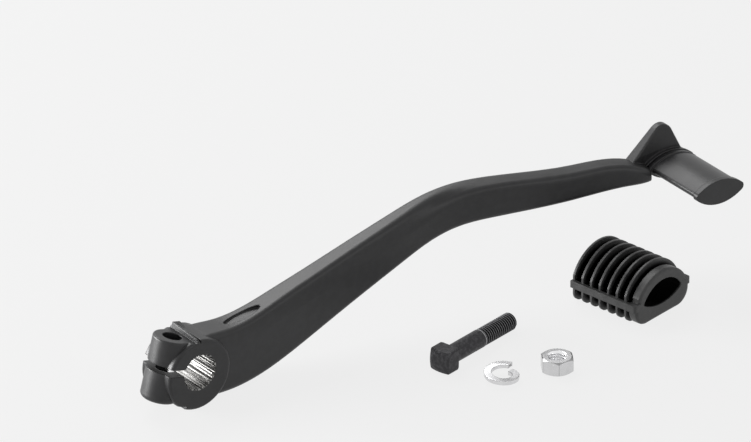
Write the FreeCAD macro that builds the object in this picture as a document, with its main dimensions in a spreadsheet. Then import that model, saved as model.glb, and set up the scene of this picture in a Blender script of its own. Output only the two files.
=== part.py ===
"""Kick start lever with its pedal rubber, pinch bolt, spring washer and nut.

Millimetres. The origin is the centre of the splined bore, Y runs along the shaft with the near,
outboard face at minus Y, X runs towards the pedal and Z is up. The lever lies as it would be fitted,
and the loose pieces lie on the bench plane below its hub.
"""
import FreeCAD, Part
import math
import os

import Sketcher

V = FreeCAD.Vector

# Driving sizes, one name each
SIZES = {
    # Splined bore
    "bore_diameter": 15.0,
    "spline_depth": 0.5,
    "spline_count": 20,
    "bore_chamfer": 0.3,
    # Clamp hub, tilted about the shaft
    "hub_tilt": 15.3,
    "hub_radius": 16.0,
    "hub_drop": 1.3,
    "hub_near": 10.0,
    "hub_far": 9.0,
    "hub_edge": 1.4,
    "hub_far_edge": 0.7,
    "slot_width": 3.2,
    # Pinch bolt boss
    "bolt_offset": 10.5,
    "boss_radius": 8.2,
    "boss_above": 12.8,
    "boss_below": 15.2,
    "boss_edge": 0.8,
    "boss_low_edge": 2.2,
    "bolt_clearance": 0.5,
    "head_clearance": 0.9,
    "washer_room": 0.15,
    "ridge_width": 0.9,
    "ridge_height": 2.7,
    "ridge_fall": 1.2,
    "crest_width": 3.9,
    "crest_length": 7.0,
    "groove_depth": 1.1,
    "groove_end": 2.6,
    # Pedal blade and its end plate
    "blade_width": 24.0,
    "blade_height": 10.0,
    "blade_tip": 1.6,
    "blade_length": 34.6,
    "blade_pitch": 4.5,
    "lip_length": 2.6,
    "lip_proud": 0.6,
    "blade_reach": 21.8,
    "blade_drop": 1.0,
    "plate_thickness": 4.8,
    "plate_lean": 9.5,
    "plate_foot": 0.6,
    "plate_back": 3.2,
    "plate_height": 20.4,
    "plate_shift": 0.1,
    "plate_left": 38.5,
    "plate_right": 67.0,
    "plate_peak": 5.6,
    "plate_edge": 0.8,
    "collar_width": 1.6,
    "collar_proud": 0.9,
    "collar_step": 0.3,
    "collar_shift": 0.7,
    "collar_gap": 0.9,
    # Fasteners
    "bolt_diameter": 8.0,
    "bolt_length": 41.0,
    "thread_length": 21.0,
    "thread_pitch": 1.25,
    "thread_relief": 0.1,
    "tip_chamfer": 1.0,
    "head_width": 10.0,
    "head_height": 7.6,
    "head_corner": 1.2,
    "head_crown": 1.4,
    "washer_diameter": 14.8,
    "washer_thickness": 1.9,
    "washer_clearance": 0.3,
    "washer_rise": 3.2,
    "washer_split": 0.9,
    "nut_width": 13.0,
    "nut_height": 6.5,
    "nut_chamfer": 0.8,
    # Oval recess on the arm's top
    "recess_length": 19.0,
    "recess_width": 5.4,
    "recess_depth": 0.7,
    "recess_along": 28.9,
    "recess_shift": 0.9,
    "recess_height": 13.0,
    "recess_slope": 6.5,
    # Pedal rubber
    "rubber_length": 35.5,
    "rubber_width": 36.0,
    "rubber_flange": 3.2,
    "rubber_proud": 1.5,
    "rubber_dome": 14.1,
    "rubber_keel": 9.2,
    "rubber_shoulder": 3.8,
    "keel_corner": 4.5,
    "rib_count": 7,
    "rib_width": 1.3,
    "rib_pitch": 4.7,
    "rib_depth": 3.2,
    "nose_length": 4.6,
    "hollow_width": 24.8,
    "hollow_height": 7.6,
    "hollow_floor": 3.7,
    "hollow_tip": 1.8,
    # Where the loose pieces lie on the bench
    "rubber_x": 197.6,
    "rubber_y": -48.4,
    "rubber_turn": 10.9,
    "bolt_x": 103.6,
    "bolt_y": -45.3,
    "bolt_turn": 13.0,
    "washer_x": 113.6,
    "washer_y": -67.5,
    "washer_turn": 12.5,
    "nut_x": 137.1,
    "nut_y": -75.0,
    "nut_turn": -2.0,
}

# Sections of the arm from the hub to the pedal: distance along X, side shift, turn outwards,
# top, bottom, near half and far half thickness, width of the top flat, fall of the near crease
STATIONS = {
    "root": (3.0, 0.0, 0.0, 13.7, -14.2, 8.3, 7.0, 14.8, 4.9),
    "neck": (18.0, 0.0, 0.0, 12.6, -16.0, 8.1, 6.4, 14.0, 5.2),
    "throat": (32.0, 0.0, 0.0, 13.5, -15.1, 7.4, 5.8, 12.6, 5.6),
    "shank": (48.0, 0.0, 0.0, 17.1, -11.4, 6.5, 5.3, 11.0, 6.2),
    "calf": (66.0, 0.0, 0.0, 21.4, -5.2, 5.8, 5.0, 10.1, 7.0),
    "shin": (88.0, 0.0, 0.0, 26.6, 3.0, 5.4, 5.0, 9.2, 7.0),
    "knee": (110.0, 0.0, 0.0, 31.6, 11.0, 5.2, 5.0, 8.2, 6.4),
    "bend": (128.0, 0.3, 5.0, 34.7, 16.4, 5.2, 5.0, 6.4, 4.6),
    "crook": (142.0, -1.4, 13.0, 36.0, 18.9, 5.1, 5.0, 5.0, 2.2),
    "thigh": (158.0, -6.3, 18.0, 36.1, 20.0, 5.0, 4.9, 4.9, 0.8),
    "wrist": (190.0, -16.7, 18.0, 34.6, 21.4, 4.9, 4.7, 4.7, 0.7),
    "ankle": (214.0, -24.5, 18.0, 33.4, 23.2, 4.7, 4.6, 4.6, 0.6),
    "toe": (223.5, -27.6, 18.0, 29.0, 23.8, 4.5, 4.5, 4.5, 0.5),
}
STATION_SIZES = ("along", "shift", "turn", "top", "bottom", "near", "far", "flat", "fall")
CORNER = "arm_corner"
SIZES[CORNER] = 2.2

for station, values in STATIONS.items():
    for size_name, value in zip(STATION_SIZES, values):
        SIZES[station + "_" + size_name] = value

doc = FreeCAD.newDocument("kick_start_lever")
sheet = doc.addObject("Spreadsheet::Sheet", "Sizes")
for row, (alias, value) in enumerate(SIZES.items(), start=1):
    sheet.set("A%d" % row, alias)
    sheet.set("B%d" % row, str(value))
    sheet.setAlias("B%d" % row, alias)
doc.recompute()


def size(alias):
    """The value of one cell of the sheet."""
    return getattr(sheet, alias)


def settle():
    """Works the document out, and stops at the first object that failed."""
    doc.recompute()
    for thing in doc.Objects:
        if {"Invalid", "Error"} & set(thing.State):
            raise RuntimeError("%s is %s" % (thing.Name, thing.State))


def bind(thing, path, formula):
    """Ties a property to a formula, in which each $name is a cell of the sheet."""
    thing.setExpression(path, formula.replace("$", "Sizes."))


def bind_constraint(sketch, index, name, formula):
    sketch.renameConstraint(index, name)
    bind(sketch, "Constraints." + name, formula)


def new_body(label):
    body = doc.addObject("PartDesign::Body", label)
    body.Label = label
    return body


def new_sketch(body, name, role, turn_axis=None, **offsets):
    """A sketch on one of the body's own origin planes; offsets are formulas for x, y, z and turn."""
    sketch = body.newObject("Sketcher::SketchObject", name)
    plane = next(f for f in body.Origin.OriginFeatures if f.Role == role)
    sketch.AttachmentSupport = [(plane, "")]
    sketch.MapMode = "FlatFace"
    if turn_axis is not None:
        sketch.AttachmentOffset = FreeCAD.Placement(V(0, 0, 0), FreeCAD.Rotation(turn_axis, 1.0))
        bind(sketch, "AttachmentOffset.Rotation.Angle", offsets.pop("turn"))
    for axis, formula in offsets.items():
        bind(sketch, "AttachmentOffset.Base." + axis, formula)
    return sketch


def add_circle(sketch, x, y, radius, x_formula, y_formula, radius_formula):
    """A circle whose centre and radius are tied to formulas."""
    index = sketch.addGeometry(Part.Circle(V(x, y, 0), V(0, 0, 1), radius), False)
    name = "circle%d" % index
    bind_constraint(sketch, sketch.addConstraint(
        Sketcher.Constraint("Radius", index, radius)), name + "_radius", radius_formula)
    bind_constraint(sketch, sketch.addConstraint(
        Sketcher.Constraint("DistanceX", -1, 1, index, 3, x)), name + "_x", x_formula)
    bind_constraint(sketch, sketch.addConstraint(
        Sketcher.Constraint("DistanceY", -1, 1, index, 3, y)), name + "_y", y_formula)
    return index


def add_outline(sketch, formulas, arcs=None):
    """A closed outline; each corner is a pair of formulas, worked out first from the sheet.

    Edges that arcs names by number are arcs of the radius formula given there. They need an outline that
    runs anticlockwise, and they swell out of it.
    """
    arcs = arcs or {}
    corners = [V(work_out(x), work_out(y), 0) for x, y in formulas]
    count = len(corners)
    first = sketch.GeometryCount
    for i, start in enumerate(corners):
        end = corners[(i + 1) % count]
        if i in arcs:
            chord = end - start
            radius = work_out(arcs[i])
            swell = radius - math.sqrt(radius ** 2 - chord.Length ** 2 / 4)
            outward = V(chord.y, -chord.x, 0).normalize()
            sketch.addGeometry(Part.Arc(start, (start + end) / 2 + outward * swell, end), False)
        else:
            sketch.addGeometry(Part.LineSegment(start, end), False)
    for i in range(count):
        line, following = first + i, first + (i + 1) % count
        sketch.addConstraint(Sketcher.Constraint("Coincident", line, 2, following, 1))
    for i, (corner, (x_formula, y_formula)) in enumerate(zip(corners, formulas)):
        name = "corner%d" % (first + i)
        bind_constraint(sketch, sketch.addConstraint(
            Sketcher.Constraint("DistanceX", -1, 1, first + i, 1, corner.x)), name + "_x", x_formula)
        bind_constraint(sketch, sketch.addConstraint(
            Sketcher.Constraint("DistanceY", -1, 1, first + i, 1, corner.y)), name + "_y", y_formula)
    for i, radius_formula in arcs.items():
        bind_constraint(sketch, sketch.addConstraint(
            Sketcher.Constraint("Radius", first + i, work_out(radius_formula))),
            "arc%d_radius" % (first + i), radius_formula)


def add_soft_polygon(sketch, corners, formulas, setback_formula, setback):
    """A polygon whose corners are arcs that start and end one setback away from each corner."""
    count = len(corners)
    points = [V(*c, 0) for c in corners]
    arcs, lines = [], []
    ends = []
    for i in range(count):
        before, here, after = points[i - 1], points[i], points[(i + 1) % count]
        to_before = (before - here).normalize()
        to_after = (after - here).normalize()
        start, end = here + to_before * setback, here + to_after * setback
        bisector = (to_before + to_after).normalize()
        half = to_before.getAngle(to_after) / 2
        centre = here + bisector * (setback / math.cos(half))
        radius = setback * math.tan(half)
        middle = centre - bisector * radius
        arcs.append(sketch.addGeometry(Part.Arc(start, middle, end), False))
        ends.append((start, end))
    for i in range(count):
        lines.append(sketch.addGeometry(
            Part.LineSegment(ends[i][1], ends[(i + 1) % count][0]), False))
    for i, here in enumerate(points):
        mark = sketch.addGeometry(Part.Point(here), True)
        # An arc keeps its ends in anticlockwise order, whichever way it was drawn
        start_first = sketch.getPoint(arcs[i], 1).distanceToPoint(ends[i][0]) < 1e-6
        arc_start, arc_end = (1, 2) if start_first else (2, 1)
        sketch.addConstraint(Sketcher.Constraint("Tangent", arcs[i], arc_start, lines[i - 1], 2))
        sketch.addConstraint(Sketcher.Constraint("Tangent", arcs[i], arc_end, lines[i], 1))
        sketch.addConstraint(Sketcher.Constraint("PointOnObject", mark, 1, lines[i - 1]))
        sketch.addConstraint(Sketcher.Constraint("PointOnObject", mark, 1, lines[i]))
        bind_constraint(sketch, sketch.addConstraint(
            Sketcher.Constraint("Distance", mark, 1, arcs[i], arc_end, setback)),
            "setback%d" % i, setback_formula)
        bind_constraint(sketch, sketch.addConstraint(
            Sketcher.Constraint("DistanceX", -1, 1, mark, 1, here.x)),
            "corner%d_x" % i, formulas[i][0])
        bind_constraint(sketch, sketch.addConstraint(
            Sketcher.Constraint("DistanceY", -1, 1, mark, 1, here.y)),
            "corner%d_y" % i, formulas[i][1])


def extrude(body, kind, name, sketch, length_formula=None, reverse=False, both_ways=False):
    """A pad or pocket of a sketch; with no length, a pocket that goes through everything."""
    feature = body.newObject("PartDesign::" + kind, name)
    feature.Profile = sketch
    feature.Reversed = reverse
    if both_ways:
        feature.SideType = "Symmetric"
    if length_formula is None:
        feature.Type = "ThroughAll"
    else:
        bind(feature, "Length", length_formula)
    settle()
    return feature


def revolve(body, kind, name, sketch, axis):
    """A revolution or groove of a sketch about one of its own two axes."""
    feature = body.newObject("PartDesign::" + kind, name)
    feature.Profile = sketch
    feature.ReferenceAxis = (sketch, [axis])
    feature.Angle = 360
    settle()
    return feature


def edge_names(shape, wanted):
    """Names of the edges for which the test is true."""
    return ["Edge%d" % (i + 1) for i, edge in enumerate(shape.Edges) if wanted(edge)]


def arm_section(body, station):
    """One section of the arm: flat top, soft near crease, straight sides and flat bottom."""
    top, bottom, near, far, flat, fall = (
        size(station + "_" + name) for name in ("top", "bottom", "near", "far", "flat", "fall"))
    sketch = new_sketch(
        body, "arm_" + station, "YZ_Plane", turn_axis=V(0, -1, 0),
        x="$%s_shift" % station, z="$%s_along" % station, turn="$%s_turn" % station)
    corners = [(far, top), (far - flat, top), (-near, top - fall), (-near, bottom), (far, bottom)]
    words = {"s": "$" + station + "_"}
    formulas = [
        ("{s}far".format(**words), "{s}top".format(**words)),
        ("{s}far - {s}flat".format(**words), "{s}top".format(**words)),
        ("-{s}near".format(**words), "{s}top - {s}fall".format(**words)),
        ("-{s}near".format(**words), "{s}bottom".format(**words)),
        ("{s}far".format(**words), "{s}bottom".format(**words)),
    ]
    add_soft_polygon(sketch, corners, formulas, "$" + CORNER, size(CORNER))
    return sketch


def tilted_sketch(body, name, height):
    """A sketch square to the pinch bolt, at a height along it above the shaft's centre."""
    return new_sketch(body, name, "XY_Plane", turn_axis=V(0, 1, 0), turn="$hub_tilt",
                      x="(%s) * sin($hub_tilt)" % height, z="(%s) * cos($hub_tilt)" % height)


def add_box(sketch, left, right, low, high):
    """A rectangle whose four sides are formulas."""
    add_outline(sketch, [(left, low), (right, low), (right, high), (left, high)])


def bolt_axis_sketch(body, name):
    """A sketch through the pinch bolt's axis, which is its upright axis."""
    return new_sketch(body, name, "XZ_Plane", turn_axis=V(0, 0, -1), turn="$hub_tilt",
                      x="-$bolt_offset * cos($hub_tilt)", y="$bolt_offset * sin($hub_tilt)")


def shoulder_sketch(body, name):
    """A sketch in the plane of the head's shoulder: along the shaft, and up along the bolt."""
    return new_sketch(body, name, "YZ_Plane", turn_axis=V(1, 0, 0), turn="$hub_tilt",
                      y="-(%s) * sin($hub_tilt)" % HEAD_SHOULDER,
                      z="(%s) * cos($hub_tilt)" % HEAD_SHOULDER)


def work_out(formula):
    """The number that a formula gives now."""
    return float(sheet.evalExpression(formula.replace("$", "")))


def blade_sketch(body, name, distance, shift="0"):
    """A sketch across the pedal blade: its origin is the blade's middle, pitched with it."""
    return new_sketch(body, name, "XZ_Plane", turn_axis=V(0, 0, -1), turn="$blade_pitch",
                      x=BLADE_X + " - " + shift, y=BLADE_Z, z=distance)


def add_lens(sketch, half_width, above, below, tip):
    """Two shallow arcs joined by a small round tip on each side."""
    side = "(%s - %s)" % (half_width, tip)
    corners, arcs = [], {}
    for rise, upward in ((above, 1), (below, -1)):
        radius = "((({w})^2 + ({h})^2 - 2 * {w} * {t}) / (2 * ({h} - {t})))".format(
            w=half_width, h=rise, t=tip)
        reach = "({s} * {r} / ({r} - {t}))".format(s=side, r=radius, t=tip)
        drop = "(({r} - {h}) * {t} / ({r} - {t}))".format(r=radius, h=rise, t=tip)
        corners.append(("%s" % reach, drop if upward == 1 else "-" + drop, radius))
    (high_x, high_y, high_radius), (low_x, low_y, low_radius) = corners
    add_outline(sketch, [(high_x, high_y), ("-" + high_x, high_y), ("-" + low_x, low_y), (low_x, low_y)],
                {0: high_radius, 1: tip, 2: low_radius, 3: tip})


def fillet(body, name, wanted, radius_formula):
    """Rounds the edges of the body's tip for which the test is true."""
    base = body.Tip
    names = edge_names(base.Shape, wanted)
    if not names:
        raise RuntimeError(name + " finds no edges")
    feature = body.newObject("PartDesign::Fillet", name)
    feature.Base = (base, names)
    bind(feature, "Radius", radius_formula)
    settle()
    return feature


def middle(edge):
    """The point halfway along an edge."""
    return edge.valueAt((edge.FirstParameter + edge.LastParameter) / 2)


def outboard_sketch(body, name, distance):
    """A sketch that faces outboard, a distance to the near side of the shaft's middle."""
    return new_sketch(body, name, "XZ_Plane", z=distance)


# Places that several features share
BLADE_X = "$ankle_along + $blade_reach"
BLADE_Z = "($ankle_top + $ankle_bottom) / 2 - $blade_drop"
PLATE_BACK = "-$ankle_shift - $plate_back"
HEAD_SHOULDER = "$head_width / 2 + $head_clearance - $bolt_offset"
NUT_SHOULDER = "$washer_diameter / 2 + $washer_room - $bolt_offset"
HALF_BLADE = "$blade_width / 2"


# The lever, one forging
lever = new_body("kick_lever")

boss_profile = bolt_axis_sketch(lever, "boss_profile")
add_outline(boss_profile, [
    ("0", "-$boss_below"),
    ("$boss_radius - $boss_low_edge", "-$boss_below"),
    ("$boss_radius", "$boss_low_edge - $boss_below"),
    ("$boss_radius", "$boss_above - $boss_edge"),
    ("$boss_radius - $boss_edge", "$boss_above"),
    ("0", "$boss_above"),
], {1: "$boss_low_edge", 3: "$boss_edge"})
revolve(lever, "Revolution", "boss", boss_profile, "V_Axis")

hub_profile = new_sketch(lever, "hub_profile", "XY_Plane", z="-$hub_drop")
add_outline(hub_profile, [
    ("0", "-$hub_near"),
    ("$hub_radius - $hub_edge", "-$hub_near"),
    ("$hub_radius", "$hub_edge - $hub_near"),
    ("$hub_radius", "$hub_far - $hub_far_edge"),
    ("$hub_radius - $hub_far_edge", "$hub_far"),
    ("0", "$hub_far"),
], {1: "$hub_edge", 3: "$hub_far_edge"})
revolve(lever, "Revolution", "hub", hub_profile, "V_Axis")

sections = [arm_section(lever, station) for station in STATIONS]
arm = lever.newObject("PartDesign::AdditiveLoft", "arm")
arm.Profile = sections[0]
arm.Sections = sections[1:]
settle()

# The end plate behind the blade, its round peak over the blade's middle; its near face leans back
TANGENT = "$plate_peak / tan((180 - $plate_left - $plate_right) / 2)"
plate_formulas = [
    ("$plate_height / tan($plate_right)", "0"),
    ("{t} * cos($plate_right)".format(t=TANGENT), "$plate_height - {t} * sin($plate_right)".format(t=TANGENT)),
    ("-{t} * cos($plate_left)".format(t=TANGENT), "$plate_height - {t} * sin($plate_left)".format(t=TANGENT)),
    ("-$plate_height / tan($plate_left)", "0"),
]
plate_profile = new_sketch(lever, "plate_profile", "XZ_Plane",
                           x=BLADE_X + " - $plate_shift", y=BLADE_Z, z=PLATE_BACK)
add_outline(plate_profile, plate_formulas, {1: "$plate_peak"})
extrude(lever, "Pad", "plate", plate_profile, "$plate_thickness")
plate_side = new_sketch(lever, "plate_side", "YZ_Plane")
near_face = "-(%s + $plate_thickness)" % PLATE_BACK
above_arm = "$ankle_top + $plate_foot"
add_outline(plate_side, [
    (near_face, above_arm),
    (near_face + " + $plate_height * tan($plate_lean)", above_arm + " + $plate_height"),
    (near_face, above_arm + " + $plate_height"),
])
extrude(lever, "Pocket", "plate_lean", plate_side, both_ways=True)
lean_slope = math.tan(math.radians(size("plate_lean")))


def is_near_left(edge):
    """Whether an edge is the leaning face's straight left one."""
    spot = middle(edge)
    on_face = work_out(near_face) + (spot.z - work_out(above_arm)) * lean_slope
    return (abs(spot.y - on_face) < 1e-3 and spot.z > work_out(above_arm) + 1 and edge.Length > 3
            and edge.Curve.TypeId == "Part::GeomLine" and spot.x < work_out(BLADE_X))


fillet(lever, "plate_edge", is_near_left, "$plate_edge")

blade_profile = blade_sketch(lever, "blade_profile", PLATE_BACK)
add_lens(blade_profile, "(%s)" % HALF_BLADE, "($blade_height / 2)", "($blade_height / 2)", "$blade_tip")
extrude(lever, "Pad", "blade", blade_profile, "$plate_thickness + $blade_length")

# Two collars stand round the blade's root, and a lip round its end
COLLAR = PLATE_BACK + " + $plate_thickness"
for name, start, proud, length, shift in (
    ("inner_collar", COLLAR, "$collar_proud", "$collar_width", "$collar_shift"),
    ("outer_collar", COLLAR + " + $collar_width + $collar_gap", "($collar_proud - $collar_step)",
     "$collar_width", "$collar_shift"),
    ("lip", COLLAR + " + $blade_length - $lip_length", "$lip_proud", "$lip_length", "0"),
):
    profile = blade_sketch(lever, name + "_profile", start, shift)
    half_height = "($blade_height / 2 + %s)" % proud
    add_lens(profile, "(%s + %s)" % (HALF_BLADE, proud), half_height, half_height,
             "($blade_tip + %s)" % proud)
    extrude(lever, "Pad", name, profile, length)

# Flat seats for the bolt's head and the washer, each up to a shoulder
outer_side = "-$bolt_offset - $boss_radius - $hub_radius"
near_side, far_side = "-$hub_near - $hub_radius", "$hub_far + $hub_radius"
for name, height, shoulder, upwards in (
    ("head_seat", "$boss_above", HEAD_SHOULDER, True),
    ("washer_seat", "-$boss_below", NUT_SHOULDER, False),
):
    outline = tilted_sketch(lever, name + "_outline", height)
    add_box(outline, outer_side, shoulder, near_side, far_side)
    extrude(lever, "Pocket", name, outline, "$hub_radius", reverse=upwards)

# The head's shoulder ends in a thin ridge, with a groove behind it and a low crest at the far end
RIDGE_TOP = "$boss_above + $ridge_height"
ridge_side = shoulder_sketch(lever, "ridge_side")
add_outline(ridge_side, [
    ("-$hub_near + $hub_edge", "$boss_above"),
    ("$hub_far - $hub_far_edge", "$boss_above"),
    ("$hub_far - $hub_far_edge", RIDGE_TOP),
    ("-$hub_near + $hub_edge", RIDGE_TOP + " - $ridge_fall"),
])
extrude(lever, "Pad", "ridge", ridge_side, "$ridge_width")
crest_side = shoulder_sketch(lever, "crest_side")
add_outline(crest_side, [
    ("$hub_far - $crest_length", "$boss_above"),
    ("$hub_far - $hub_far_edge", "$boss_above"),
    ("$hub_far - $hub_far_edge", RIDGE_TOP),
    ("$hub_far - $crest_length", RIDGE_TOP + " - $ridge_fall"),
])
extrude(lever, "Pad", "crest", crest_side, "$crest_width")
groove_outline = tilted_sketch(lever, "groove_outline", RIDGE_TOP + " - $ridge_fall - $groove_depth")
add_box(groove_outline, HEAD_SHOULDER + " + $ridge_width", HEAD_SHOULDER + " + 2 * $ridge_width",
        near_side, "$hub_far - $groove_end")
extrude(lever, "Pocket", "ridge_groove", groove_outline, "$hub_radius", reverse=True)

# Clamp slot from the bore to the outside
slot_outline = tilted_sketch(lever, "slot_outline", "-$slot_width / 2")
add_box(slot_outline, outer_side, "0", near_side, far_side)
extrude(lever, "Pocket", "slot", slot_outline, "$slot_width", reverse=True)

# Bore, its splines and its lead-in at both faces
bore_outline = outboard_sketch(lever, "bore_outline", "0")
add_circle(bore_outline, 0, 0, size("bore_diameter") / 2, "0", "0", "$bore_diameter / 2")
extrude(lever, "Pocket", "bore", bore_outline, both_ways=True)

spline_outline = outboard_sketch(lever, "spline_outline", "0")
half_gap = "$bore_diameter * tan(180 / $spline_count) / 4"
root = "$bore_diameter / 2 + $spline_depth"
inside = "$bore_diameter / 2 - $spline_depth"
corner_formulas = [
    (inside, "-1.2 * " + half_gap), (root, "-0.7 * " + half_gap),
    (root, "0.7 * " + half_gap), (inside, "1.2 * " + half_gap),
]
add_outline(spline_outline, corner_formulas)
spline_gap = extrude(lever, "Pocket", "spline_gap", spline_outline, both_ways=True)
splines = lever.newObject("PartDesign::PolarPattern", "splines")
splines.Originals = [spline_gap]
splines.Axis = (next(f for f in lever.Origin.OriginFeatures if f.Role == "Y_Axis"), [""])
bind(splines, "Occurrences", "$spline_count")
lever.Tip = splines
settle()

lead_outline = new_sketch(lever, "lead_outline", "XY_Plane")
lead = "$spline_depth + $bore_chamfer"
for face, inward in (("-$hub_near", 1), ("$hub_far", -1)):
    corner_formulas = [
        ("$bore_diameter / 2 - $bore_chamfer", face),
        ("$bore_diameter / 2 + " + lead, face),
        ("$bore_diameter / 2 - $bore_chamfer", face + " + %d * (%s + $bore_chamfer)" % (inward, lead)),
    ]
    add_outline(lead_outline, corner_formulas)
lead_in = lever.newObject("PartDesign::Groove", "lead_in")
lead_in.Profile = lead_outline
lead_in.ReferenceAxis = (lead_outline, ["V_Axis"])
lead_in.Angle = 360
settle()

# Hole for the pinch bolt, which clips the bore as the shaft's groove needs
hole_outline = tilted_sketch(lever, "hole_outline", "0")
add_circle(hole_outline, -size("bolt_offset"), 0, work_out("($bolt_diameter + $bolt_clearance) / 2"),
           "-$bolt_offset", "0", "($bolt_diameter + $bolt_clearance) / 2")
extrude(lever, "Pocket", "bolt_hole", hole_outline, both_ways=True)

# Bare oval recess on the arm
recess_outline = new_sketch(
    lever, "recess_outline", "XY_Plane", turn_axis=V(0, -1, 0), turn="$recess_slope",
    x="$recess_along", y="-$recess_shift", z="$recess_height - $recess_depth")
half_long, half_wide = size("recess_length") / 2, size("recess_width") / 2
oval = recess_outline.addGeometry(
    Part.Ellipse(V(half_long, 0, 0), V(0, half_wide, 0), V(0, 0, 0)), False)
recess_outline.exposeInternalGeometry(oval)
long_axis, short_axis = oval + 1, oval + 2
recess_outline.addConstraint(Sketcher.Constraint("Coincident", oval, 3, -1, 1))
recess_outline.addConstraint(Sketcher.Constraint("Horizontal", long_axis))
for name, axis, length, formula in (
    ("oval_length", long_axis, 2 * half_long, "$recess_length"),
    ("oval_width", short_axis, 2 * half_wide, "$recess_width"),
):
    bind_constraint(recess_outline, recess_outline.addConstraint(
        Sketcher.Constraint("Distance", axis, length)), name, formula)
extrude(lever, "Pocket", "recess", recess_outline, "$recess_width", reverse=True)

BENCH = "-$hub_radius - $hub_drop"


def place(body, x, y, z, turn, axis=V(0, 0, 1)):
    """Lays a body on the bench: where it is, and how far it is turned about an axis."""
    body.Placement = FreeCAD.Placement(V(0, 0, 0), FreeCAD.Rotation(axis, 1.0))
    for direction, formula in (("x", x), ("y", y), ("z", z)):
        bind(body, "Placement.Base." + direction, formula)
    bind(body, "Placement.Rotation.Angle", turn)


# Pinch bolt along its own X, with the underside of its square head at the origin
bolt = new_body("clamp_bolt")
head_profile = new_sketch(bolt, "head_profile", "YZ_Plane")
half_head = size("head_width") / 2
add_soft_polygon(
    head_profile,
    [(half_head, half_head), (-half_head, half_head), (-half_head, -half_head),
     (half_head, -half_head)],
    [("$head_width / 2", "$head_width / 2"), ("-$head_width / 2", "$head_width / 2"),
     ("-$head_width / 2", "-$head_width / 2"), ("$head_width / 2", "-$head_width / 2")],
    "$head_corner", size("head_corner"))
extrude(bolt, "Pad", "head", head_profile, "$head_height", reverse=True)
crown_profile = new_sketch(bolt, "crown_profile", "XZ_Plane")
add_outline(crown_profile, [
    ("-$head_height - 1", "$head_width / 2 - $head_crown"),
    ("-$head_height", "$head_width / 2 - $head_crown"),
    ("-$head_height + $head_crown", "$head_width * 0.75"),
    ("-$head_height - 1", "$head_width * 0.75"),
])
revolve(bolt, "Groove", "crown", crown_profile, "H_Axis")
shank_profile = new_sketch(bolt, "shank_profile", "XZ_Plane")
THREAD_RADIUS = "$bolt_diameter / 2 - $thread_relief"
add_outline(shank_profile, [
    ("-$head_height / 2", "0"),
    ("-$head_height / 2", "$bolt_diameter / 2"),
    ("$bolt_length - $thread_length - $thread_relief", "$bolt_diameter / 2"),
    ("$bolt_length - $thread_length", THREAD_RADIUS),
    ("$bolt_length - $tip_chamfer", THREAD_RADIUS),
    ("$bolt_length", THREAD_RADIUS + " - $tip_chamfer"),
    ("$bolt_length", "0"),
])
revolve(bolt, "Revolution", "shank", shank_profile, "H_Axis")

# Hexagon nut along its own Z, with its lower face at the origin
nut = new_body("hex_nut")
hexagon = new_sketch(nut, "hexagon", "XY_Plane")
add_outline(hexagon, [("$nut_width / sqrt(3) * cos(%d)" % turn, "$nut_width / sqrt(3) * sin(%d)" % turn)
                  for turn in range(0, 360, 60)])
extrude(nut, "Pad", "hexagon_bar", hexagon, "$nut_height")
facing = new_sketch(nut, "facing", "XZ_Plane")
NUT_CORNER = "$nut_width / sqrt(3)"
rim = "$nut_width / 2 - $nut_chamfer / 2"
for face, inward in (("0", 1), ("$nut_height", -1)):
    add_outline(facing, [
        (rim, face + " - %d" % inward),
        (rim, face),
        (NUT_CORNER + " + 1", face + " + %d * (%s + 1 - (%s)) * tan(30)" % (inward, NUT_CORNER, rim)),
        (NUT_CORNER + " + 1", face + " - %d" % inward),
    ])
revolve(nut, "Groove", "corner_chamfers", facing, "V_Axis")
thread_hole = new_sketch(nut, "thread_hole", "XY_Plane")
TAP_RADIUS = "($bolt_diameter - 1.0825 * $thread_pitch) / 2"
add_circle(thread_hole, 0, 0, work_out(TAP_RADIUS), "0", "0", TAP_RADIUS)
extrude(nut, "Pocket", "tapped_hole", thread_hole, both_ways=True)
sinks = new_sketch(nut, "sinks", "XZ_Plane")
for face, inward in (("0", 1), ("$nut_height", -1)):
    add_outline(sinks, [
        ("$bolt_diameter / 2 - $thread_pitch", face),
        ("$bolt_diameter / 2 + $bolt_clearance / 2", face),
        ("$bolt_diameter / 2 - $thread_pitch",
         face + " + %d * ($bolt_clearance / 2 + $thread_pitch)" % inward),
    ])
revolve(nut, "Groove", "countersinks", sinks, "V_Axis")

# Split spring washer about its own Z, a left-hand coil of one turn
washer = new_body("spring_washer")
wire_profile = new_sketch(washer, "wire_profile", "XZ_Plane")
inner = "$bolt_diameter / 2 + $washer_clearance"
add_box(wire_profile, inner, "$washer_diameter / 2", "0", "$washer_thickness")
coil = washer.newObject("PartDesign::AdditiveHelix", "coil")
coil.Profile = wire_profile
coil.ReferenceAxis = (wire_profile, ["V_Axis"])
coil.Mode = "pitch-turns-angle"
coil.LeftHanded = True
bind(coil, "Pitch", "$washer_rise")
bind(coil, "Turns", "1 - $washer_split / (3.14159 * $washer_diameter)")
settle()

# Pedal rubber about its own Y, with its open nose towards minus Y and its flange level
rubber = new_body("pedal_rubber")
BACK = "$rubber_length / 2"


def arch(sketch, inset):
    """A dome on upright shoulders over a flat keel with rounded corners, inside the ribs by inset."""
    half = "($rubber_width / 2 - $rubber_proud - %s)" % inset
    crown = "($rubber_dome - %s)" % inset
    keel = "($rubber_keel - %s)" % inset
    bend = "($keel_corner - %s / 2)" % inset
    lift = "(%s - $rubber_shoulder)" % crown
    add_outline(sketch, [
        (half, "%s - %s" % (bend, keel)),
        (half, "$rubber_shoulder"),
        ("-" + half, "$rubber_shoulder"),
        ("-" + half, "%s - %s" % (bend, keel)),
        ("%s - %s" % (bend, half), "-" + keel),
        ("%s - %s" % (half, bend), "-" + keel),
    ], {1: "({h}^2 + {l}^2) / (2 * {l})".format(h=half, l=lift), 3: bend, 5: bend})


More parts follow.
